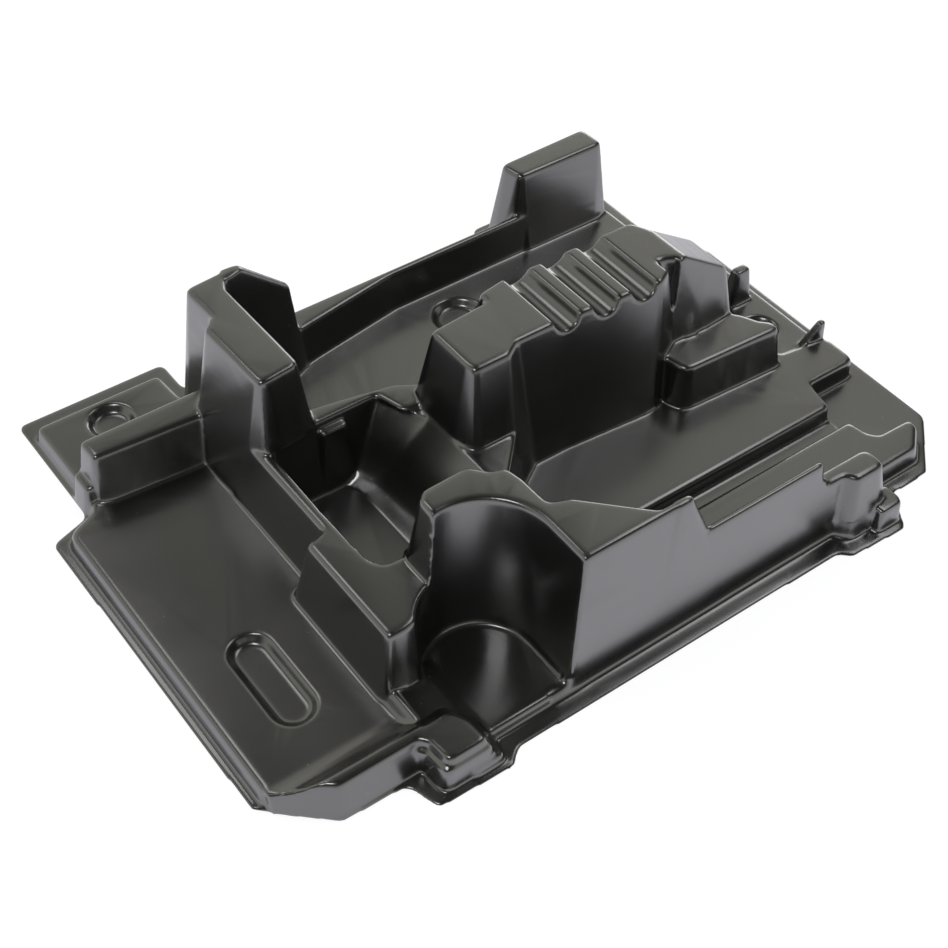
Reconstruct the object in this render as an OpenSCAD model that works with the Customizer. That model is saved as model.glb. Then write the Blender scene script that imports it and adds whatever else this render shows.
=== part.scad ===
// Vacuum-formed tray that holds a power tool and its accessories inside a carrying case.
// One sheet of plastic, hollow underneath. X runs along the long side, Y to the far side.
// Plan points are measured from the near left corner of the lip, levels from the lip's top face.

/* [Tray] */
// Length of the lip, left edge to right edge
tray_l = 360.6; // [350:0.1:380]
// Width of the lip, near edge to far edge, without the ears on the near side
tray_w = 266.3; // [262:0.1:285]
// Thickness of the formed sheet
sheet_t = 1.2; // [0.8:0.1:1.4]
// How far the ears of the lip stand out on the near side
ear_out = 6.6; // [4:0.1:9]
// Rounding of the formed upper edges
edge_r = 1.6; // [1.2:0.1:2.4]

/* [Draft of the walls, run per unit of height] */
// Outer walls
outer_draft = 0.06; // [0.02:0.01:0.09]
// Inner walls
inner_draft = 0.15; // [0.1:0.01:0.18]
// Low steps and folds next to the lip
step_draft = 0.25; // [0.15:0.01:0.35]
// Leaning walls of the long ridge
ridge_draft = 0.2; // [0.15:0.01:0.24]
// Outer face of the near wall
near_draft = 0.035; // [0.02:0.001:0.05]
// Wall of the round pocket
pocket_draft = 0.043; // [0.02:0.001:0.07]

/* [Levels above the lip] */
// Tower, near block and long ridge
top_h = 75; // [68:0.5:82]
// Corner post at the far side
corner_post_h = 48.5; // [42:0.5:56]
// Sill of the window in the near wall
window_h = 50; // [44:0.5:56]
// Block at the near side, right of the window
right_block_h = 34.5; // [30:0.5:40]
// Saddle between the tower and the ridge
saddle_h = 42; // [40.5:0.5:46]
// Plateau around the middle pocket
plateau_h = 40; // [37:0.5:41]
// Stepped block in front of the ridge's ramp
step_block_h = 33; // [28:0.5:38]
// Cross rib at the far end of the left panel
rib_h = 31; // [26:0.5:36]
// Far wall
far_wall_h = 28; // [24:0.5:33]
// Small post on the right
small_post_h = 27; // [22:0.5:32]
// Triangular fin on the right
fin_h = 21; // [18:0.5:25]
// Near rim strip and the post next to it
rim_h = 16; // [14.5:0.5:18]
// Ledge at the left end of the cross rib
rib_ledge_h = 15; // [12:0.5:18]
// Lower tier of the near left post, and the strip beside the right block
tier_h = 12; // [9.5:0.5:13.5]
// Right plateau and right front panel
right_h = 11; // [10:0.5:12.5]
// Left panel, left pad, rear trough and right end
panel_h = 8; // [7:0.5:9]
// Floors of the round and the middle pocket
pocket_floor_h = 5; // [4:0.5:6]
// Floor of the long slot
slot_floor_h = 3; // [2:0.5:5]

/* [Pockets and recesses] */
// Radius of the round pocket at the top
round_pocket_r = 27.5; // [26.5:0.1:28.5]
// Middle of the round pocket, from the left edge
round_pocket_x = 104.5; // [103.5:0.1:105.5]
// Middle of the round pocket, from the near edge
round_pocket_y = 34; // [33:0.1:35]
// Depth of the shallow round recesses
recess_depth = 4; // [2.5:0.1:5]
// Mouth radius of the recess in the left pad
pad_recess_r = 10.2; // [8:0.1:12]
// Mouth radius of the long recess in the left panel
panel_recess_r = 9.2; // [7:0.1:11]
// Distance between the two ends of the long recess
panel_recess_gap = 30; // [20:0.5:36]
// Mouth radius of the recess in the rear trough
trough_recess_r = 12.4; // [10:0.1:14]
// Mouth radius of the recess at the right end
end_recess_r = 9.2; // [7:0.1:11]

/* [Near wall] */
// Outer face of the near wall at the top, from the near edge
near_wall_y = 12; // [11:0.1:13]
// Thickness of the near wall at the window's sill
near_wall_t = 3.2; // [3:0.1:4]

/* [Grooves across the ridge] */
// Number of grooves
groove_n = 3; // [1:1:3]
// Distance from groove to groove
groove_pitch = 19.8; // [17:0.1:21]
// Width of a groove
groove_w = 12.6; // [10:0.1:14]
// Middle of the first groove, from the left edge
groove_x = 209.5; // [206:0.1:212]

/* [Hidden] */
tray_color = [0.1, 0.1, 0.1];
near_ears = -ear_out;
base_z = 0;
big = 400;
shoulder_r = 2.2;

// Places measured from the right edge and from the far edge
function rx(d) = tray_l - d;
function fy(d) = tray_w - d;

// Outer face of the near wall at a level, set back by the step that parts one block from the next
function near_face(level, step = 0) = near_wall_y - near_draft * (top_h - level) + step;

// Outlines run anticlockwise. Each corner is [x, y, corner radius, draft of the wall that follows].
function edge_dir(a, b) = [b[0] - a[0], b[1] - a[1]] / norm([b[0] - a[0], b[1] - a[1]]);
function outward(d) = [d[1], -d[0]];
function cross2(a, b) = a[0] * b[1] - a[1] * b[0];
function prev_i(o, i) = (i + len(o) - 1) % len(o);
function next_i(o, i) = (i + 1) % len(o);

// A corner moved outward with the two walls that meet there
function moved_corner(o, i, h, e) =
    let (
        a = outward(edge_dir(o[prev_i(o, i)], o[i])),
        b = outward(edge_dir(o[i], o[next_i(o, i)])),
        da = o[prev_i(o, i)][3] * h + e,
        db = o[i][3] * h + e,
        c = cross2(a, b)
    )
    abs(c) < 0.05
        ? [o[i][0], o[i][1]] + (a + b) / norm(a + b) * (da + db) / 2
        : [o[i][0] + (da * b[1] - db * a[1]) / c, o[i][1] + (a[0] * db - b[0] * da) / c];

// The outline moved outward by draft times height h plus e, with its corners rounded
function ring(o, h, e, k) =
    let (p = [for (i = [0:len(o) - 1]) moved_corner(o, i, h, e)])
    [for (i = [0:len(o) - 1])
        let (
            a = p[prev_i(p, i)],
            b = p[i],
            c = p[next_i(p, i)],
            u = edge_dir(b, a),
            v = edge_dir(b, c),
            turn = cross2(-u, v),
            grow = (turn > 0 ? 1 : -1) * (max(o[i][3], o[prev_i(o, i)][3]) * h + e),
            r = max(o[i][2] + grow, 0.3),
            reach = min(norm(a - b), norm(c - b)) * 0.46,
            t = min(r * sqrt((1 + u * v) / max(1 - u * v, 0.02)), reach),
            t_safe = max(t, 0.2)
        )
        each (o[i][2] == 0 ? [b] : [for (j = [0:k])
            let (w = j / k)
            (1 - w) * (1 - w) * (b + u * t_safe) + 2 * w * (1 - w) * b + w * w * (b + v * t_safe)])
    ];

// Solid through a stack of rings of equal length, lowest first
module stack(rings) {
    n = len(rings[0]);
    m = len(rings);
    sides = [for (j = [0:m - 2], i = [0:n - 1])
        let (a = j * n + i, b = j * n + (i + 1) % n)
        each [[a, a + n, b], [b, a + n, b + n]]];
    floor_face = [for (i = [0:n - 1]) i];
    top_face = [for (i = [n - 1:-1:0]) (m - 1) * n + i];
    polyhedron(points = [for (r = rings) each r], faces = concat([floor_face, top_face], sides));
}

function lifted(r, z, tilt, at) = [for (p = r) [p[0], p[1], z + tilt * ([p[0], p[1]] - at)]];
function flat(r, z) = [for (p = r) [p[0], p[1], z]];

// Raised block. s is 0 for the outer face of the sheet and the sheet's thickness for the inner face.
// A tilted top falls by tilt per unit of plan distance from the point at. In a thin wall the hollow
// inside ends lower by sink.
module block(o, level, s = 0, r = edge_r, k = 2, tilt = [0, 0], at = [0, 0], sink = 0) {
    gap = s > 0 ? sink : 0;
    z_top = sheet_t + level - s - gap;
    z_low = s > 0 ? -1 : base_z;
    re = max(r - s, 0.25);
    top = ring(o, gap, -re - s, k);
    middle = ring(o, gap + 0.3 * re, -0.3 * re - s, k);
    shoulder = ring(o, gap + re, -s, k);
    foot = ring(o, gap + z_top - z_low, -s, k);
    if (s > 0)
        stack([flat(foot, z_low), lifted(shoulder, z_top - re, tilt, at), lifted(top, z_top, tilt, at)]);
    else
        stack([flat(foot, z_low), lifted(shoulder, z_top - re, tilt, at),
            lifted(middle, z_top - 0.3 * re, tilt, at), lifted(top, z_top, tilt, at)]);
}

// Small drafted peg with rounded corners and a bevelled top, centred at x, y
module peg(x, y, len_x, len_y, level, s, draft = inner_draft) {
    z_top = sheet_t + level - s;
    z_low = s > 0 ? -1 : base_z;
    grow = draft * (z_top - z_low);
    hull() {
        for (cx = [-1, 1], cy = [-1, 1]) {
            translate([x + cx * (len_x / 2 - 1.8), y + cy * (len_y / 2 - 1.8), z_top - 0.2])
                cylinder(r = max(1.2 - s, 0.2), h = 0.2, $fn = 16);
            translate([x + cx * (len_x / 2 - 1.8), y + cy * (len_y / 2 - 1.8), z_top - 0.9])
                cylinder(r = 1.8 - s, h = 0.1, $fn = 16);
            translate([x + cx * (len_x / 2 + grow - 1.8), y + cy * (len_y / 2 + grow - 1.8), z_low])
                cylinder(r = 1.8 - s, h = 0.1, $fn = 16);
        }
    }
}

// Keeps what lies a little below the top level
module under_top(s) {
    intersection() {
        children();
        translate([0, 0, -5]) cube([big, big, 5 + sheet_t + top_h - s - 0.25]);
    }
}

// Hollow sunk from the level mouth down to the level floor; the outline is that of the mouth.
module hollow(o, mouth, floor_h, s = 0, k = 2, lip_r = 0) {
    z_mouth = sheet_t + mouth;
    z_floor = sheet_t + floor_h - s;
    deep = z_mouth - z_floor;
    bottom = ring(o, -deep, s, k);
    if (lip_r > 0)
        stack([flat(bottom, z_floor), flat(ring(o, -lip_r, s, k), z_mouth - lip_r),
            flat(ring(o, -0.3 * lip_r, s + 0.3 * lip_r, k), z_mouth - 0.3 * lip_r),
            flat(ring(o, 0, s + lip_r, k), z_mouth), flat(ring(o, 0, s + lip_r, k), z_mouth + 2)]);
    else
        stack([flat(bottom, z_floor), flat(ring(o, 0, s, k), z_mouth)]);
}

// Round ring of n points, drawn out along Y by gap
function long_ring(x, y, r, gap, n = 28) = [for (i = [0:n - 1])
    let (w = 360 * (i + 0.5) / n)
    [x + r * cos(w), y + r * sin(w) + (w < 180 ? gap : 0)]];

// Shallow round recess, long when its two ends lie apart
module recess(x, y, r, level, s, gap = 0) {
    z_floor = sheet_t + level - recess_depth - s;
    z_top = sheet_t + level;
    stack([
        flat(long_ring(x, y, r - 2.6 + s, gap), z_floor),
        flat(long_ring(x, y, r - 1.7 + s, gap), z_floor + 0.8),
        flat(long_ring(x, y, r + s, gap), z_top - 0.7),
        flat(long_ring(x, y, r + s + 0.9, gap), z_top + 0.15)
    ]);
}

// Flat lip around the whole tray, with its ears and cut-back corners
module lip_plate() {
    outline = [
        [1, 36.3, 4, 0],
        [25.4, 12.6, 6, 0],
        [53.2, 11.3, 5, 0],
        [57.6, -ear_out + 3.4, 4, 0],
        [91.3, -ear_out + 1.8, 5, 0],
        [97.4, 0.6, 5, 0],
        [267, -0.3, 4, 0],
        [272.2, -ear_out + 1.7, 4, 0],
        [302.5, -ear_out, 5, 0],
        [313.3, 10.6, 6, 0],
        [rx(25.6), 11, 5, 0],
        [rx(0), 36.4, 7, 0],
        [rx(0), fy(80), 6, 0],
        [rx(16.2), fy(75), 5, 0],
        [rx(16.2), fy(0.8), 4, 0],
        [rx(90.5), fy(0.8), 6, 0],
        [rx(93.5), fy(21.3), 5, 0],
        [92.1, fy(21.3), 5, 0],
        [92.1, fy(0), 4.5, 0],
        [18.9, fy(0), 4.5, 0],
        [18.9, fy(66.3), 5, 0],
        [0, fy(72.4), 5, 0]
    ];
    translate([0, 0, base_z]) linear_extrude(sheet_t) polygon(ring(outline, 0, 0, 4));
}

// Low bed at panel height: left panel, left pad, rear trough and right end
module low_bed(s) {
    outline = [
        [6.5, 35.6, 2, step_draft],
        [27.2, 16.8, 0, step_draft],
        [66, 16.8, 0, inner_draft],
        [66, 52, 0, inner_draft],
        [140, 52, 0, inner_draft],
        [140, 84, 0, inner_draft],
        [rx(30), 84, 0, inner_draft],
        [rx(10), 92, 0, step_draft],
        [rx(10.4), fy(88), 4, step_draft],
        [rx(27.5), fy(82), 6, step_draft],
        [rx(28.4), fy(34), 0, step_draft],
        [112, fy(34), 0, outer_draft],
        [84, fy(33), 2, step_draft],
        [82.9, fy(13.8), 2, step_draft],
        [23.3, fy(13.8), 2, step_draft],
        [23.3, fy(67), 4, step_draft],
        [19.5, fy(72.5), 3, step_draft],
        [6.5, fy(78), 6, step_draft]
    ];
    block(outline, panel_h, s);
}

// Bed of the round pocket, which runs out to the near side
module round_pocket_bed(s) {
    block([
        [72, 9.8, 0, step_draft],
        [134, 9.8, 0, step_draft],
        [134, 66, 0, inner_draft],
        [72, 66, 0, inner_draft]
    ], pocket_floor_h, s, 1.2);
}

// Rim strip on the near side of the left panel, curving down to the panel
module near_rim(s) {
    outline = [
        [6.6, 35.6, 0, step_draft],
        [27.2, 17.2, 4, step_draft],
        [68, 17.2, 0, inner_draft],
        [68, 37.5, 0, 0],
        [6.6, 37.5, 0, 0]
    ];
    z0 = sheet_t - s;
    intersection() {
        block(outline, rim_h, s);
        translate([0, 0, z0]) rotate([90, 0, 90]) linear_extrude(big)
            polygon([
                [0, -5],
                [0, rim_h],
                [21.2, rim_h],
                [22.6, rim_h - 0.6],
                [25.2, rim_h - 3.6],
                [28.2, panel_h + 2.2],
                [31.5, panel_h + 0.7],
                [36, panel_h - 0.1],
                [36, -5]
            ]);
    }
}

// Post at the near left, beside the round pocket, with its lower tier
module near_post(s) {
    block([
        [61.6, 17.3, 2, outer_draft],
        [64.6, 13.6, 2, outer_draft],
        [65.6, 2.3, 3, outer_draft],
        [84, 2.3, 2.5, inner_draft],
        [83.4, 13.6, 6, inner_draft],
        [79.6, 21.8, 4, inner_draft],
        [62, 21.4, 0, 0]
    ], rim_h, s);
    block([
        [69.5, 9.9, 0, outer_draft],
        [83.2, 9.9, 0, 0.62],
        [83.4, 14, 6, 0.66],
        [79.4, 21.6, 4, 0.9],
        [69.5, 21.3, 0, 0]
    ], rim_h - 0.5, s);
    block([
        [59.6, 15.2, 2, outer_draft],
        [62.4, 12.4, 2, outer_draft],
        [63.2, 0.5, 3, outer_draft],
        [84.6, 0.5, 2, step_draft],
        [85.8, 8.5, 2, inner_draft],
        [79, 20, 0, inner_draft],
        [64, 20, 0, inner_draft]
    ], tier_h, s, 1);
    block([
        [76, -1, 1.5, outer_draft],
        [89.2, -1, 2, step_draft],
        [90.4, 9.8, 1.5, step_draft],
        [76, 12, 0, step_draft]
    ], pocket_floor_h, s, 1);
}

// Cross rib at the far end of the left panel, and the ledge at its left end
module cross_rib(s) {
    block([
        [26.8, 199.8, 1.5, inner_draft + 0.1],
        [90, 195.4, 0, 0],
        [90, 211.7, 0, inner_draft],
        [26.5, 211.7, 1.5, inner_draft]
    ], rib_h, s);
    block([
        [21.2, 199.6, 2, step_draft],
        [40, 198.4, 0, 0],
        [40, 212, 0, inner_draft],
        [21.2, 212, 2, inner_draft]
    ], rib_ledge_h, s, 1.2);
}

// Plateau around the middle pocket, its rim on the right and the small ledge at the ridge
module pocket_plateau(s) {
    block([
        [69.5, 46.4, 2, inner_draft + 0.04],
        [78, 46.4, 0, inner_draft],
        [100, 52, 0, inner_draft],
        [146, 52, 0, inner_draft],
        [152, 83, 0, inner_draft],
        [158.3, 88.9, 2, inner_draft + 0.05],
        [174.5, 105.4, 0, 0],
        [172, 128, 0, 0],
        [168, 146, 0, inner_draft],
        [156, 146.4, 0, inner_draft],
        [147, 152, 3, inner_draft],
        [123, 158.6, 0, inner_draft],
        [110, 160.8, 0, inner_draft],
        [78.7, 162, 0, inner_draft + 0.03],
        [78.7, 105.5, 1.2, inner_draft + 0.04],
        [69.5, 102.6, 2, inner_draft + 0.04]
    ], plateau_h, s);
}

// Tower at the left, with its leg and the crest that falls to the far wall
module tower(s) {
    block([
        [83.9, 156.7, 3, inner_draft + 0.04],
        [103.7, 159, 3, inner_draft],
        [103.2, fy(51), 4, inner_draft],
        [106.2, fy(45), 2, inner_draft],
        [114.5, fy(43.8), 0, inner_draft],
        [114.5, fy(39.4), 0, inner_draft],
        [88.6, fy(41.5), 3, inner_draft - 0.07],
        [89.3, fy(63), 3, inner_draft],
        [82.8, fy(68.2), 3, inner_draft]
    ], top_h, s);
    under_top(s) block([
        [108, fy(44.5), 0, inner_draft],
        [139.6, fy(41.4), 1, outer_draft],
        [139.2, fy(38.4), 1, inner_draft],
        [108, fy(39.5), 0, inner_draft]
    ], top_h, s, tilt = [-0.9, 0], at = [115, 0], sink = 3);
}

// Wall along the far side
module far_wall(s) {
    block([
        [112, fy(50.6), 0, inner_draft],
        [148, fy(43), 6, inner_draft],
        [198, fy(35), 6, inner_draft],
        [rx(83), fy(34.7), 0, inner_draft],
        [rx(83), fy(31.7), 0, inner_draft],
        [112, fy(31.7), 0, inner_draft]
    ], far_wall_h, s, 1.4, sink = 3);
}

// Tall post in the far right corner
module corner_post(s) {
    block([
        [rx(83.9), fy(30.6), 3, inner_draft + 0.05],
        [rx(32.4), fy(30.6), 3, inner_draft - 0.05],
        [rx(33.4), fy(15.6), 3, outer_draft],
        [rx(86.2), fy(17.1), 3, inner_draft + 0.09]
    ], corner_post_h, s);
}

// Saddle between the tower and the ridge
module saddle(s) {
    block([
        [96, 155.2, 0, inner_draft],
        [137.4, 155.2, 2, inner_draft],
        [141.4, 141.6, 2, inner_draft],
        [144.6, 139.6, 2, inner_draft],
        [168, 138, 0, 0],
        [168, 150, 0, inner_draft],
        [155.7, 151.4, 3, inner_draft],
        [147.4, 156.6, 3, inner_draft],
        [123, 161.8, 3, inner_draft],
        [110.6, 164.2, 3, inner_draft],
        [96, 164.2, 0, inner_draft]
    ], saddle_h, s);
}

// Long ridge with its ramp at the right end
module ridge(s) {
    block([
        [158.8, 115.1, 2, ridge_draft + 0.1],
        [176.6, 115.1, 3, ridge_draft],
        [183.6, 119.5, 3, ridge_draft],
        [205, 119.3, 0, ridge_draft],
        [258.8, 114.7, 4, ridge_draft - 0.08],
        [265.4, 118.2, 3, inner_draft],
        [264.4, 127.8, 3, inner_draft],
        [277.4, 121.3, 3, inner_draft],
        [277.4, 145, 3, inner_draft],
        [273, 154, 4, inner_draft],
        [202.4, 154.8, 2, inner_draft],
        [188.2, 152.4, 2, inner_draft],
        [188.6, 146.8, 2, inner_draft],
        [157.9, 144.6, 2, ridge_draft + 0.04],
        [157.8, 119.9, 2, ridge_draft + 0.06]
    ], top_h, s);
    under_top(s) block([
        [274, 121.2, 0, inner_draft],
        [304, 119.6, 2, inner_draft],
        [304, 145, 2, inner_draft],
        [274, 145, 0, inner_draft]
    ], top_h, s, tilt = [-0.65, 0], at = [277, 0]);
}

// Points of an arc around c, from angle a to angle b in n steps
function arc_points(c, r, a, b, n) = [for (i = [0:n])
    let (w = a + (b - a) * i / n)
    [c[0] + r * cos(w), c[1] + r * sin(w)]];

// Lower edge of the cut for one groove with its middle at x: shoulder, half-round groove, shoulder
function groove_edge(x, s) =
    let (
        r = groove_w / 2,
        low = 0.4 - shoulder_r,
        side = sqrt((r + shoulder_r) * (r + shoulder_r) - low * low),
        lean = atan2(-low, side)
    )
    concat(
        arc_points([x - side, low], shoulder_r - s, 90, lean, 3),
        arc_points([x, 0], r + s, 180 + lean, 360 - lean, 11),
        arc_points([x + side, low], shoulder_r - s, 180 - lean, 90, 3)
    );

// Half-round grooves across the ridge, with rounded shoulders between them
module grooves(s) {
    last = groove_x + (groove_n - 1) * groove_pitch;
    edge = [for (i = [0:groove_n - 1]) each groove_edge(groove_x + i * groove_pitch, s)];
    ends = [[last + groove_w, 0.4 - s], [last + groove_w, 20], [groove_x - groove_w, 20], [groove_x - groove_w, 0.4 - s]];
    translate([0, 180, sheet_t + top_h]) rotate([90, 0, 0]) linear_extrude(90)
        polygon(concat(edge, ends));
}

// Block with a cut corner in front of the ramp, post, fin and right end
module right_end(s) {
    block([
        [263.4, 98, 5, inner_draft],
        [rx(43), 95, 2, inner_draft],
        [rx(42.8), 100.6, 2, inner_draft],
        [rx(47), 104.4, 3, inner_draft],
        [rx(51), 112.4, 2, inner_draft],
        [rx(56), 118, 0, 0],
        [258, 118, 0, 0],
        [261.6, 108, 0, inner_draft]
    ], step_block_h, s);
    peg(rx(22.8), 141.3, 9.2, 5.6, small_post_h, s, 0.1);
    fin_top = sheet_t + fin_h - s * 1.6;
    fin_foot = s > 0 ? -1 : base_z;
    hull() {
        translate([rx(12.2), 96, fin_top - 1.5]) cylinder(r = 1.9 - s, h = 1.5, $fn = 16);
        translate([rx(21.4) + s, 95.2 + s, fin_foot]) cube([12.4 - 2 * s, 6 - 2 * s, 0.2]);
        translate([rx(21.4) + s, 95.2 + s, sheet_t + right_h - s]) cube([12.4 - 2 * s, 4 - 2 * s, 0.2]);
    }
}

// Right plateau, with the notch that steps down to the right end
module right_plateau(s) {
    block([
        [140, 59.6, 0, step_draft],
        [rx(41.2), 59.4, 2, outer_draft],
        [rx(37.4), 75.2, 2, outer_draft],
        [rx(8.6), 75.2, 4, outer_draft],
        [rx(8.6), 91, 3, inner_draft],
        [rx(14.4), 101.6, 3, inner_draft],
        [rx(22.6), 96.2, 2, inner_draft],
        [rx(34), 97.8, 2, inner_draft],
        [rx(44), 118, 0, inner_draft],
        [140, 120, 0, inner_draft]
    ], right_h, s, 1.4);
}

// Bed of the long slot between the plateau and the front panel
module slot_bed(s) {
    block([
        [138, 40, 0, step_draft],
        [rx(41), 40, 0, step_draft],
        [rx(40.6), 66, 0, step_draft],
        [138, 66, 0, step_draft]
    ], slot_floor_h, s, 0.8);
}

// Right front panel
module front_panel(s) {
    block([
        [128, 13.8, 0, outer_draft],
        [286, 13.8, 0, 0],
        [294, 18, 2, outer_draft],
        [rx(28.8), 18.4, 2, step_draft],
        [rx(18.2), 27.8, 3, step_draft],
        [rx(17.2), 33, 2, outer_draft],
        [rx(36.2), 33.6, 4, outer_draft],
        [rx(39.8), 38.4, 2, step_draft],
        [rx(41.2), 47.4, 2, step_draft],
        [128, 47.4, 0, step_draft]
    ], right_h, s, 1.4);
}

// Near block beside the round pocket, and the thin wall that runs on from it
module near_block(s) {
    block([
        [124, near_face(top_h), 0, near_draft],
        [184, near_face(top_h), 0, inner_draft],
        [184, 15.4, 0, outer_draft],
        [170, 15.8, 3, inner_draft],
        [146.8, 39.2, 3, inner_draft],
        [138.4, 42.4, 3, inner_draft],
        [138.2, 57.2, 0, inner_draft],
        [136.6, 65.6, 3, inner_draft],
        [130.4, 67.4, 3, inner_draft],
        [124.6, 74.4, 2, inner_draft],
        [103.4, 73.8, 3, inner_draft],
        [99.4, 69.6, 3, inner_draft - 0.06],
        [99.4, 36, 0, 0],
        [124, 36, 0, 0]
    ], top_h, s);
    under_top(s) block([
        [178, near_face(top_h, 0.04), 0, near_draft],
        [200, near_face(top_h, 0.04), 0, inner_draft],
        [200, 15.3, 0, outer_draft],
        [178, 15.4, 0, outer_draft]
    ], top_h, s, tilt = [-2.1, 0], at = [184.4, 0]);
    block([
        [180, near_face(window_h, 0.08), 0, near_draft],
        [258.4, near_face(window_h, 0.08), 2, inner_draft + 0.1],
        [258.4, near_face(window_h) + near_wall_t, 0, outer_draft + 0.03],
        [180, near_face(window_h) + near_wall_t, 0, 0]
    ], window_h, s, 1.4, sink = 3);
}

// Block at the near side, right of the window, and the low strip beside it
module right_block(s) {
    block([
        [250, near_face(right_block_h), 0, near_draft],
        [273.8, near_face(right_block_h), 2.5, outer_draft],
        [276.6, 6, 2, inner_draft - 0.04],
        [292.4, 5.9, 3, ridge_draft + 0.08],
        [292.8, 18, 4, outer_draft],
        [250, 18.3, 0, 0]
    ], right_block_h, s);
    block([
        [250, near_face(right_block_h + 4.6, 0.04), 0, near_draft],
        [261.9, near_face(right_block_h + 4.6, 0.04), 2, 0.6],
        [261.9, near_face(right_block_h + 4.6) + near_wall_t + 1, 0, inner_draft],
        [250, near_face(right_block_h + 4.6) + near_wall_t + 1, 0, 0]
    ], right_block_h + 4.6, s, 1.2, sink = 1);
    peg(296.2, 3.6, 12.8, 9.8, tier_h, s, outer_draft);
    peg(297.6, 5.4, 12, 9.8, tier_h, s, outer_draft);
}

// Round pocket, open to the near side
module round_pocket(s) {
    arc = [for (w = [0:7.5:210])
        [round_pocket_x + round_pocket_r * cos(w), round_pocket_y + round_pocket_r * sin(w), 0, pocket_draft]];
    opening = [
        [90, 9, 0, pocket_draft],
        [90, -20, 0, pocket_draft],
        [round_pocket_x + round_pocket_r - 0.6, -20, 0, pocket_draft]
    ];
    hollow(concat(arc, opening), top_h, pocket_floor_h, s, lip_r = edge_r);
}

// Scoop that climbs from the round pocket's floor to a fold beside the left panel
module pocket_scoop(s) {
    foot = s > 0 ? -1 : base_z;
    z0 = sheet_t - s;
    translate([0, 50 - s, 0]) rotate([90, 0, 0]) linear_extrude(36 - 2 * s)
        polygon([
            [62.6 + s, foot],
            [63.4 + s, z0 + panel_h - 1],
            [66.4 + s, z0 + panel_h + 4.6],
            [67.6 + 0.5 * s, z0 + panel_h + 5.6],
            [69.4, z0 + panel_h + 5.5],
            [74, z0 + panel_h + 3.7],
            [80.8, z0 + panel_h + 0.6],
            [86, z0 + pocket_floor_h + 1.3],
            [93, z0 + pocket_floor_h - 0.2],
            [93, foot]
        ]);
}

// Ring of the middle pocket. u runs from 0 at the floor to 1 at the mouth, right is the place of the
// right wall and e the distance that the ring stands out.
function pocket_ring(u, right, e) = ring([
    [97 - 0.5 * u, 82 - 6.4 * u, 2, 0],
    [100 - 1.6 * u, 82 - 3.4 * u, 0, 0],
    [right, 82 - 3 * u, 2, 0],
    [right, 140 - 8 * u, 6, 0],
    [right - 3 - 8 * u, 149 + 5.9 * u, 2, 0],
    [88 - 4 * u, 149 + 5.9 * u, 3, 0],
    [88 - 4.7 * u, 114, 0, 0],
    [88 - 4.2 * u, 92, 0, 0],
    [88 - 3.2 * u, 86 - 4.6 * u, 3, 0],
    [90 - 1.6 * u, 82 - 5.4 * u, 3, 0]
], 0, e, 2);

// Middle pocket, whose floor curves up to the ridge on its right
module middle_pocket(s) {
    z0 = sheet_t - s;
    stack([
        flat(pocket_ring(0, 120, s), z0 + pocket_floor_h),
        flat(pocket_ring(0.1, 127, s), z0 + pocket_floor_h + 3.6),
        flat(pocket_ring(0.25, 131.6, s), z0 + pocket_floor_h + 9),
        flat(pocket_ring(0.55, 138.2, s), z0 + pocket_floor_h + 19.6),
        flat(pocket_ring(1, 148.9, s), sheet_t + plateau_h + 0.3)
    ]);
}

// Small nub on the far wall of the middle pocket
module pocket_nub(s) {
    peg(114.5, 155.4, 13, 9.4, plateau_h - 2, s, 0.06);
}

// The formed shape; s shrinks it inward by the sheet's thickness
module form(s) {
    difference() {
        union() {
            low_bed(s);
            round_pocket_bed(s);
            near_rim(s);
            near_post(s);
            cross_rib(s);
            pocket_plateau(s);
            tower(s);
            far_wall(s);
            corner_post(s);
            saddle(s);
            ridge(s);
            right_end(s);
            right_plateau(s);
            slot_bed(s);
            front_panel(s);
            near_block(s);
            right_block(s);
        }
        grooves(s);
        round_pocket(s);
        middle_pocket(s);
        recess(52, fy(28.3), pad_recess_r, panel_h, s);
        recess(35.6, 62, panel_recess_r, panel_h, s, panel_recess_gap);
        recess(220.5, 207.8, trough_recess_r, panel_h, s);
        recess(rx(28.6), 118.5, end_recess_r, panel_h, s);
    }
    pocket_scoop(s);
    pocket_nub(s);
}

module tray() {
    color(tray_color) translate([-tray_l / 2, -(tray_w + near_ears) / 2, 0])
        difference() {
            union() {
                lip_plate();
                form(0);
            }
            form(sheet_t);
        }
}

tray();
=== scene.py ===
import math

import bmesh
import bpy
from mathutils import Matrix, Vector
from mathutils.kdtree import KDTree

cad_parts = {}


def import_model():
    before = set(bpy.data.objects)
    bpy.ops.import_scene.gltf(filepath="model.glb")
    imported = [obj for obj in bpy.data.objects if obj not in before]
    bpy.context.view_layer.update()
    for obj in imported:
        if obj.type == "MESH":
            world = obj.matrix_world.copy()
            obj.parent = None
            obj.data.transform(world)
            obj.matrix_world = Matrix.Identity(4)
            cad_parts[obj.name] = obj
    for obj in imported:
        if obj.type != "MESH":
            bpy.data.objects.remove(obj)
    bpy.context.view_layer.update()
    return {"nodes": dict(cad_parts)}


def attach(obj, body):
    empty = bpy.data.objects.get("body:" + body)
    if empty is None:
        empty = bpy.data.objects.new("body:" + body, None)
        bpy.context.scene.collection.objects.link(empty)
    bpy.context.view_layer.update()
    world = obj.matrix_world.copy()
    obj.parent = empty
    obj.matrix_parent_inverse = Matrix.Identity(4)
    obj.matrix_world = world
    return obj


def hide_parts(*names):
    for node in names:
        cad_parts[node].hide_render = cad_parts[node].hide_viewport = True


# Lengths are in metres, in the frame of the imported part: Z is up, and the lip lies on Z = 0.
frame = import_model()

# The formed sheet: its thickness, the skirt that closes it below while its edges are softened,
# and the share of the skirt that stays during the softening
SHEET = 0.0012
SKIRT = 0.006
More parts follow.
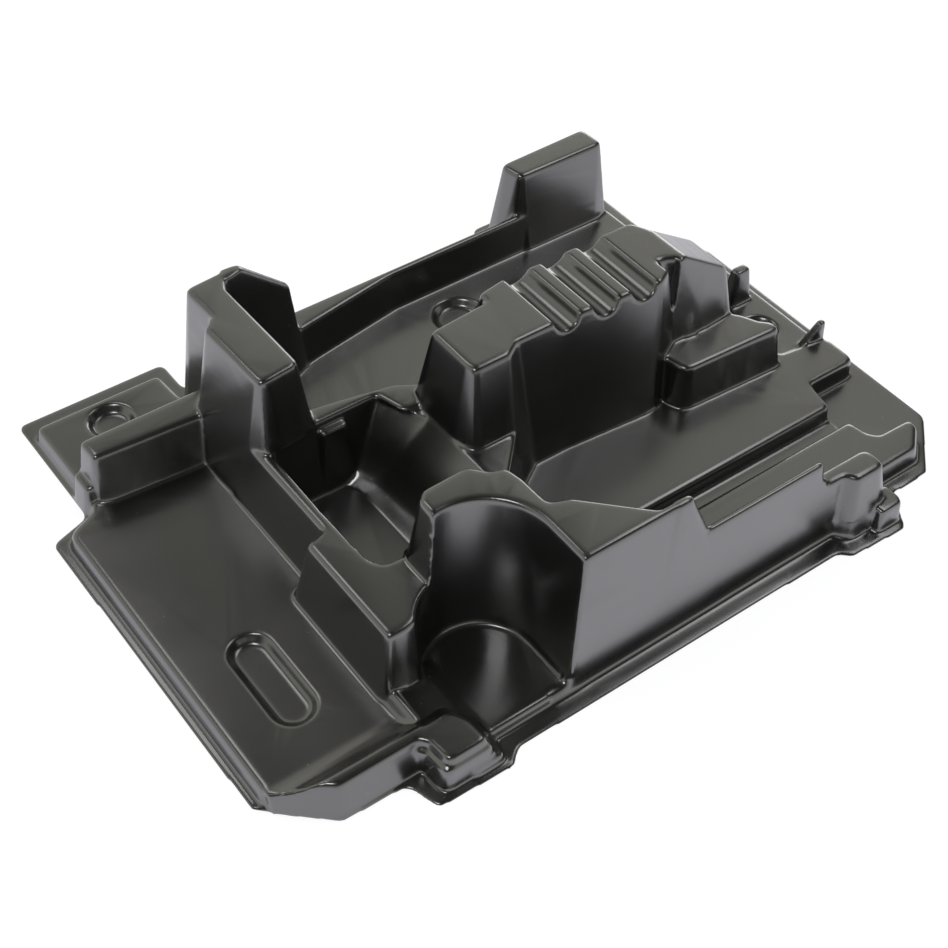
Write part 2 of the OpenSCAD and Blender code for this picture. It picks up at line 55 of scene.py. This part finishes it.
SKIRT_KEPT = 0.6

# How fine the sheet is, and how soft: passes over the whole sheet and over three places
VOXEL = 0.00065
SKIN_TRIANGLES = 184000
SHEET_PASSES = 20
RAMP_PASSES = 80
ROUND_FLOOR_PASSES = 30
NEAR_FOOT_PASSES = 90
SMOOTH_SHARE = 0.5

# Limits below which points are one, a level is the same, a face is upright or flat
SAME_POINT = 2e-6
SAME_LEVEL = 1e-5
SHORT_EDGE = 2e-5
UPRIGHT = 0.02
FLAT_ANGLE = math.radians(1.5)

# Places that are softened more, as low and high corners
RAMP_BOX = ((-0.066, -0.047, 0.0065), (-0.028, 0.019, 0.0385))
NEAR_FOOT_BOX = ((-0.062, -0.1278, 0.0), (0.138, -0.116, 0.011))
ROUND_CENTRE = (-0.0758, -0.0958)
ROUND_REACH = (0.022, 0.031)
ROUND_LEVELS = (0.0055, 0.012)
ROUND_NEAREST = -0.116

# Where the camera stands: angles in degrees, seen from the point that it looks at
AIM = Vector((-0.03162, -0.02971, 0.035))
DISTANCE = 0.66864
AZIMUTH = -128.285
ELEVATION = 46.256
ROLL = 2.412
LENS = 61.88
SENSOR = 36

# The bright side of the studio, and the dimmest part of its top
FAR_SIDE = (-0.2, 0.98, 0.0)
DIM_TOP = (-0.045, 0.255, 0.966)
FLOOR_SIDE = 12.0


def lip_rim(bm):
    """The upright faces around the lip, between its upper and its lower side."""
    return [
        f
        for f in bm.faces
        if abs(f.normal.z) < UPRIGHT
        and max(v.co.z for v in f.verts) < SHEET + SAME_LEVEL
        and min(v.co.z for v in f.verts) < SAME_LEVEL
    ]


def joined_faces(start):
    """All faces that hang together with the first one."""
    reached = {start}
    front = [start]
    while front:
        face = front.pop()
        for edge in face.edges:
            for other in edge.link_faces:
                if other not in reached:
                    reached.add(other)
                    front.append(other)
    return reached


def skins(solid):
    """The upper and the lower side of the tray as two meshes, parted at the lip's edge."""
    upper = bmesh.new()
    upper.from_mesh(solid.data)
    bmesh.ops.transform(upper, matrix=solid.matrix_world, verts=upper.verts)
    bmesh.ops.remove_doubles(upper, verts=upper.verts, dist=SAME_POINT)
    upper.normal_update()
    bmesh.ops.delete(upper, geom=lip_rim(upper), context="FACES_ONLY")
    upper.faces.index_update()
    highest = max(upper.faces, key=lambda f: f.calc_center_median().z + f.normal.z)
    on_top = {f.index for f in joined_faces(highest)}
    under = upper.copy()
    bmesh.ops.delete(upper, geom=[f for f in upper.faces if f.index not in on_top], context="FACES")
    bmesh.ops.delete(under, geom=[f for f in under.faces if f.index in on_top], context="FACES")
    for mesh in (upper, under):
        loose = [e for e in mesh.edges if not e.link_faces]
        bmesh.ops.delete(mesh, geom=loose, context="EDGES")
    return upper, under


def close_below(bm):
    """Runs a skirt down from the lip's edge and closes it, so that the form is a full solid."""
    rim = [e for e in bm.edges if e.is_boundary]
    made = bmesh.ops.extrude_edge_only(bm, edges=rim)["geom"]
    for v in made:
        if isinstance(v, bmesh.types.BMVert):
            v.co.z = -SKIRT
    low = [e for e in made if isinstance(e, bmesh.types.BMEdge) and e.is_boundary]
    bmesh.ops.contextual_create(bm, geom=low)
    bmesh.ops.recalc_face_normals(bm, faces=bm.faces)


def new_object(bm, name):
    """Makes an object of a mesh that is being edited."""
    mesh = bpy.data.meshes.new(name)
    bm.to_mesh(mesh)
    bm.free()
    obj = bpy.data.objects.new(name, mesh)
    bpy.context.scene.collection.objects.link(obj)
    return obj


def apply_modifiers(obj):
    """Puts the result of the modifiers into the object's own mesh."""
    graph = bpy.context.evaluated_depsgraph_get()
    mesh = bpy.data.meshes.new_from_object(obj.evaluated_get(graph))
    obj.modifiers.clear()
    obj.data = mesh


def cut_below(obj, level):
    """Removes what lies under a level and leaves the cut open."""
    bm = bmesh.new()
    bm.from_mesh(obj.data)
    bmesh.ops.bisect_plane(
        bm,
        geom=list(bm.verts) + list(bm.edges) + list(bm.faces),
        dist=1e-7,
        plane_co=(0, 0, level),
        plane_no=(0, 0, 1),
        clear_inner=True,
    )
    bm.to_mesh(obj.data)
    bm.free()


def close_rim(obj, under):
    """Moves the edge of the lower side to the edge of the upper one."""
    upper = bmesh.new()
    upper.from_mesh(obj.data)
    rim = [v.co.copy() for v in upper.verts if v.is_boundary]
    upper.free()
    tree = KDTree(len(rim))
    for index, place in enumerate(rim):
        tree.insert(place, index)
    tree.balance()
    for v in under.verts:
        if v.is_boundary:
            v.co = tree.find(v.co)[0]


def add_mesh(obj, bm):
    """Adds a second mesh after the first one in an object."""
    extra = bpy.data.meshes.new("extra")
    bm.to_mesh(extra)
    bm.free()
    both = bmesh.new()
    both.from_mesh(obj.data)
    both.from_mesh(extra)
    both.to_mesh(obj.data)
    both.free()
    bpy.data.meshes.remove(extra)


def mend_flats(obj):
    """Turns the long thin triangles on flat places into better ones."""
    bm = bmesh.new()
    bm.from_mesh(obj.data)
    bmesh.ops.dissolve_degenerate(bm, edges=bm.edges, dist=SHORT_EDGE)
    bmesh.ops.triangulate(bm, faces=[f for f in bm.faces if len(f.verts) > 3])
    level = [e for e in bm.edges if len(e.link_faces) == 2 and e.calc_face_angle() < FLAT_ANGLE]
    bmesh.ops.beautify_fill(bm, faces=bm.faces, edges=level, method="ANGLE")
    bm.to_mesh(obj.data)
    bm.free()


def within(point, box):
    """True for a point between the low and the high corner of a box."""
    return all(low < value < high for low, value, high in zip(box[0], point, box[1]))


def on_pocket_ramp(v):
    """The floor of the middle pocket, where it climbs to the ridge."""
    return within(v.co, RAMP_BOX) and v.normal.x < -0.05 and v.normal.z > 0.2


def at_round_floor(v):
    """The foot of the round pocket's wall."""
    x, y, z = v.co
    reach = math.hypot(x - ROUND_CENTRE[0], y - ROUND_CENTRE[1])
    at_foot = ROUND_REACH[0] < reach < ROUND_REACH[1] and ROUND_LEVELS[0] < z < ROUND_LEVELS[1]
    return at_foot and y > ROUND_NEAREST


def at_near_foot(v):
    """The foot of the near wall, where the sheet turns into the lip."""
    return within(v.co, NEAR_FOOT_BOX)


def soften(obj, passes, group=""):
    """Smooths the points of a group, or all points where no group is named."""
    smooth = obj.modifiers.new("soften", "SMOOTH")
    smooth.factor = SMOOTH_SHARE
    smooth.iterations = passes
    smooth.vertex_group = group
    apply_modifiers(obj)


def soften_area(obj, test, passes):
    """Smooths only the points that pass the test."""
    area = obj.vertex_groups.new(name=test.__name__)
    area.add([v.index for v in obj.data.vertices if test(v)], 1.0, "REPLACE")
    soften(obj, passes, area.name)
    obj.vertex_groups.clear()


def soft_form(bm):
    """The tray's upper side as a fine even mesh with soft edges, with a part of the skirt."""
    sheet = new_object(bm, "tray_sheet")
    remesh = sheet.modifiers.new("remesh", "REMESH")
    remesh.mode = "VOXEL"
    remesh.voxel_size = VOXEL
    apply_modifiers(sheet)
    cut_below(sheet, -SKIRT_KEPT * SKIRT)
    soften(sheet, SHEET_PASSES)
    soften_area(sheet, on_pocket_ramp, RAMP_PASSES)
    soften_area(sheet, at_round_floor, ROUND_FLOOR_PASSES)
    soften_area(sheet, at_near_foot, NEAR_FOOT_PASSES)
    return sheet


def thin_out(obj):
    """Brings the mesh down to its number of triangles."""
    count = sum(len(p.vertices) - 2 for p in obj.data.polygons)
    thin = obj.modifiers.new("thin", "DECIMATE")
    thin.ratio = min(1.0, SKIN_TRIANGLES / count)
    apply_modifiers(obj)


def take_normals(obj, source, group):
    """Gives the points of a group the smooth normals of a finer mesh."""
    take = obj.modifiers.new("take_normals", "DATA_TRANSFER")
    take.object = source
    take.use_loop_data = True
    take.data_types_loops = {"CUSTOM_NORMAL"}
    take.loop_mapping = "POLYINTERP_NEAREST"
    take.vertex_group = group
    apply_modifiers(obj)


def formed_sheet():
    """The tray as one sheet of even thickness with soft formed edges."""
    upper, under = skins(frame["nodes"]["tray"])
    close_below(upper)
    sheet = soft_form(upper)
    fine = bpy.data.objects.new("fine_skin", sheet.data.copy())
    bpy.context.scene.collection.objects.link(fine)
    fine.data.polygons.foreach_set("use_smooth", [True] * len(fine.data.polygons))
    thin_out(sheet)
    cut_below(sheet, 0.0)
    mend_flats(sheet)
    upper_points = len(sheet.data.vertices)
    upper_faces = len(sheet.data.polygons)
    close_rim(sheet, under)
    add_mesh(sheet, under)
    outer = sheet.vertex_groups.new(name="outer")
    outer.add(list(range(upper_points)), 1.0, "REPLACE")
    smooth = [i < upper_faces for i in range(len(sheet.data.polygons))]
    sheet.data.polygons.foreach_set("use_smooth", smooth)
    take_normals(sheet, fine, outer.name)
    bpy.data.objects.remove(fine)
    return sheet


def node(tree, kind, **inputs):
    """A shader node with its inputs set by name."""
    made = tree.nodes.new(kind)
    for name, value in inputs.items():
        made.inputs[name.replace("_", " ")].default_value = value
    return made


def combine(tree, operation, first, second):
    """The result of a sum on two values."""
    made = tree.nodes.new("ShaderNodeMath")
    made.operation = operation
    tree.links.new(first, made.inputs[0])
    tree.links.new(second, made.inputs[1])
    return made.outputs["Value"]


def map_range(tree, value, start, end):
    """Maps a value from one range to another, held at both ends."""
    made = tree.nodes.new("ShaderNodeMapRange")
    made.inputs["From Min"].default_value = start[0]
    made.inputs["From Max"].default_value = start[1]
    made.inputs["To Min"].default_value = end[0]
    made.inputs["To Max"].default_value = end[1]
    tree.links.new(value, made.inputs["Value"])
    return made.outputs["Result"]


def toward(tree, ray, direction):
    """How far a ray points in a direction: 1 along it, 0 across it."""
    made = tree.nodes.new("ShaderNodeVectorMath")
    made.operation = "DOT_PRODUCT"
    made.inputs[1].default_value = direction
    tree.links.new(ray, made.inputs[0])
    return made.outputs["Value"]


def pick(tree, factor, off, on):
    """One shader where the factor is 0, the other where it is 1."""
    made = tree.nodes.new("ShaderNodeMixShader")
    tree.links.new(factor, made.inputs["Fac"])
    tree.links.new(off, made.inputs[1])
    tree.links.new(on, made.inputs[2])
    return made.outputs["Shader"]


def seen_by(tree, path):
    """1 for camera, glossy and transmission rays, 0 for the others."""
    first = combine(tree, "MAXIMUM", path.outputs["Is Camera Ray"], path.outputs["Is Glossy Ray"])
    return combine(tree, "MAXIMUM", first, path.outputs["Is Transmission Ray"])


def new_material(name):
    """A material with an empty node tree and its output node."""
    material = bpy.data.materials.new(name)
    material.use_nodes = True
    material.node_tree.nodes.clear()
    return material, material.node_tree.nodes.new("ShaderNodeOutputMaterial")


def dusty_black(tree, place):
    """The sheet's colour, with sparse small pale specks of dust."""
    specks = node(tree, "ShaderNodeTexVoronoi", Scale=330.0)
    tree.links.new(place, specks.inputs["Vector"])
    speck = map_range(tree, specks.outputs["Distance"], (0.1, 0.05), (0.0, 0.5))
    tone = tree.nodes.new("ShaderNodeSeparateColor")
    tree.links.new(specks.outputs["Color"], tone.inputs["Color"])
    sparse = tree.nodes.new("ShaderNodeMath")
    sparse.operation = "GREATER_THAN"
    sparse.inputs[1].default_value = 0.93
    tree.links.new(tone.outputs["Red"], sparse.inputs[0])
    colour = tree.nodes.new("ShaderNodeMix")
    colour.data_type = "RGBA"
    colour.inputs["A"].default_value = (0.005, 0.005, 0.0045, 1)
    colour.inputs["B"].default_value = (0.2, 0.2, 0.19, 1)
    tree.links.new(combine(tree, "MULTIPLY", speck, sparse.outputs["Value"]), colour.inputs["Factor"])
    return colour.outputs["Result"]


def plastic():
    """Black polystyrene sheet: satin gloss, fine grain, a little dust."""
    material, out = new_material("black_sheet")
    tree = material.node_tree
    link = tree.links.new
    shader = node(tree, "ShaderNodeBsdfPrincipled", IOR=1.7, Specular_IOR_Level=1.0)
    link(shader.outputs["BSDF"], out.inputs["Surface"])
    place = tree.nodes.new("ShaderNodeTexCoord").outputs["Object"]
    link(dusty_black(tree, place), shader.inputs["Base Color"])

    # Roughness: drifts slowly over the sheet
    drift = node(tree, "ShaderNodeTexNoise", Scale=28.0, Detail=4.0)
    link(place, drift.inputs["Vector"])
    link(map_range(tree, drift.outputs["Fac"], (0.3, 0.7), (0.21, 0.27)), shader.inputs["Roughness"])

    # Fine grain of the sheet
    grain = node(tree, "ShaderNodeTexNoise", Scale=1500.0, Detail=2.0)
    link(place, grain.inputs["Vector"])
    bump = node(tree, "ShaderNodeBump", Strength=0.05, Distance=0.0002)
    link(grain.outputs["Fac"], bump.inputs["Height"])
    link(bump.outputs["Normal"], shader.inputs["Normal"])
    return material


def floor_material():
    """White floor. The camera and the glossy rays see it near white, with the object's shadow kept."""
    material, out = new_material("floor_white")
    tree = material.node_tree
    plain = node(tree, "ShaderNodeBsdfDiffuse", Color=(0.9, 0.9, 0.9, 1))
    faint = node(tree, "ShaderNodeBsdfDiffuse", Color=(0.3, 0.3, 0.3, 1))
    white = node(tree, "ShaderNodeEmission", Color=(1, 1, 1, 1), Strength=0.78)
    cool = node(tree, "ShaderNodeEmission", Color=(0.95, 0.93, 1, 1), Strength=1.0)
    path = tree.nodes.new("ShaderNodeLightPath")
    is_glossy = path.outputs["Is Glossy Ray"]
    glow = pick(tree, is_glossy, white.outputs["Emission"], cool.outputs["Emission"])
    seen = tree.nodes.new("ShaderNodeAddShader")
    tree.links.new(faint.outputs["BSDF"], seen.inputs[0])
    tree.links.new(glow, seen.inputs[1])
    surface = pick(tree, seen_by(tree, path), plain.outputs["BSDF"], seen.outputs["Shader"])
    tree.links.new(surface, out.inputs["Surface"])
    return material


def add_floor():
    """A square floor under the tray."""
    bm = bmesh.new()
    half = FLOOR_SIDE / 2
    corners = [(-half, -half), (half, -half), (half, half), (-half, half)]
    bm.faces.new([bm.verts.new((x, y, 0)) for x, y in corners])
    floor = new_object(bm, "floor")
    floor.data.materials.append(floor_material())


def studio_level(tree):
    """The studio in the gloss: a bright far side, a dimmer top and a pale low band in front."""
    ray = tree.nodes.new("ShaderNodeTexCoord").outputs["Generated"]
    parts = tree.nodes.new("ShaderNodeSeparateXYZ")
    tree.links.new(ray, parts.inputs["Vector"])
    far = toward(tree, ray, FAR_SIDE)
    side = map_range(tree, far, (-0.1, 0.3), (0.07, 0.84))
    top = map_range(tree, toward(tree, ray, DIM_TOP), (0.79, 0.88), (1.0, 0.2))
    near = map_range(tree, far, (-0.2, -0.5), (0.0, 0.8))
    low = map_range(tree, parts.outputs["Z"], (0.3, 0.48), (1.0, 0.0))
    level = combine(tree, "MULTIPLY", side, top)
    band = combine(tree, "MULTIPLY", near, low)
    return combine(tree, "MAXIMUM", level, band)


def world():
    """Pale studio: white to the camera, and with brighter and dimmer sides to the glossy rays."""
    studio = bpy.data.worlds.new("studio")
    bpy.context.scene.world = studio
    studio.use_nodes = True
    tree = studio.node_tree
    tree.nodes.clear()
    out = tree.nodes.new("ShaderNodeOutputWorld")
    dim = node(tree, "ShaderNodeBackground", Color=(0.95, 0.96, 1, 1), Strength=0.65)
    white = node(tree, "ShaderNodeBackground", Color=(1, 1, 1, 1), Strength=1.0)
    sides = node(tree, "ShaderNodeBackground", Color=(1, 1, 0.9, 1))
    tree.links.new(studio_level(tree), sides.inputs["Strength"])
    path = tree.nodes.new("ShaderNodeLightPath")
    is_glossy = path.outputs["Is Glossy Ray"]
    seen = pick(tree, is_glossy, white.outputs["Background"], sides.outputs["Background"])
    surface = pick(tree, seen_by(tree, path), dim.outputs["Background"], seen)
    tree.links.new(surface, out.inputs["Surface"])


def softbox(name, place, width, height, watts, target=(0, 0, 0)):
    """A rectangular lamp that faces its target."""
    lamp = bpy.data.lights.new(name, "AREA")
    lamp.shape = "RECTANGLE"
    lamp.size = width
    lamp.size_y = height
    lamp.energy = watts
    obj = bpy.data.objects.new(name, lamp)
    obj.location = place
    aim = Vector(target) - Vector(place)
    obj.rotation_euler = aim.to_track_quat("-Z", "Y").to_euler()
    bpy.context.scene.collection.objects.link(obj)


def add_camera():
    """The camera at its angles and distance from the point that it looks at."""
    azimuth = math.radians(AZIMUTH)
    elevation = math.radians(ELEVATION)
    roll = math.radians(ROLL)
    away = Vector(
        (
            math.cos(elevation) * math.cos(azimuth),
            math.cos(elevation) * math.sin(azimuth),
            math.sin(elevation),
        )
    )
    level_right = Vector((0, 0, 1)).cross(away).normalized()
    level_up = away.cross(level_right)
    right = level_right * math.cos(roll) + level_up * math.sin(roll)
    up = away.cross(right)
    camera = bpy.data.cameras.new("camera")
    camera.lens = LENS
    camera.sensor_width = SENSOR
    obj = bpy.data.objects.new("camera", camera)
    turn = Matrix((right, up, away)).transposed().to_4x4()
    obj.matrix_world = Matrix.Translation(AIM + away * DISTANCE) @ turn
    bpy.context.scene.collection.objects.link(obj)
    bpy.context.scene.camera = obj


sheet = formed_sheet()
sheet.data.materials.clear()
sheet.data.materials.append(plastic())
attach(sheet, "root")
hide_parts("tray")

add_floor()
world()
softbox("key", (-0.74, -0.38, 1.25), 0.45, 0.3, 4.4)
softbox("side", (0.8, -0.16, 1.26), 0.85, 0.4, 2.8)
softbox("left", (-0.25, 0.76, 1.27), 0.45, 0.45, 1.6)
softbox("rear", (1.45, 1.05, 0.35), 0.8, 0.5, 4.5, target=(0, 0, 0.03))
add_camera()
bpy.context.scene.view_settings.view_transform = "Standard"
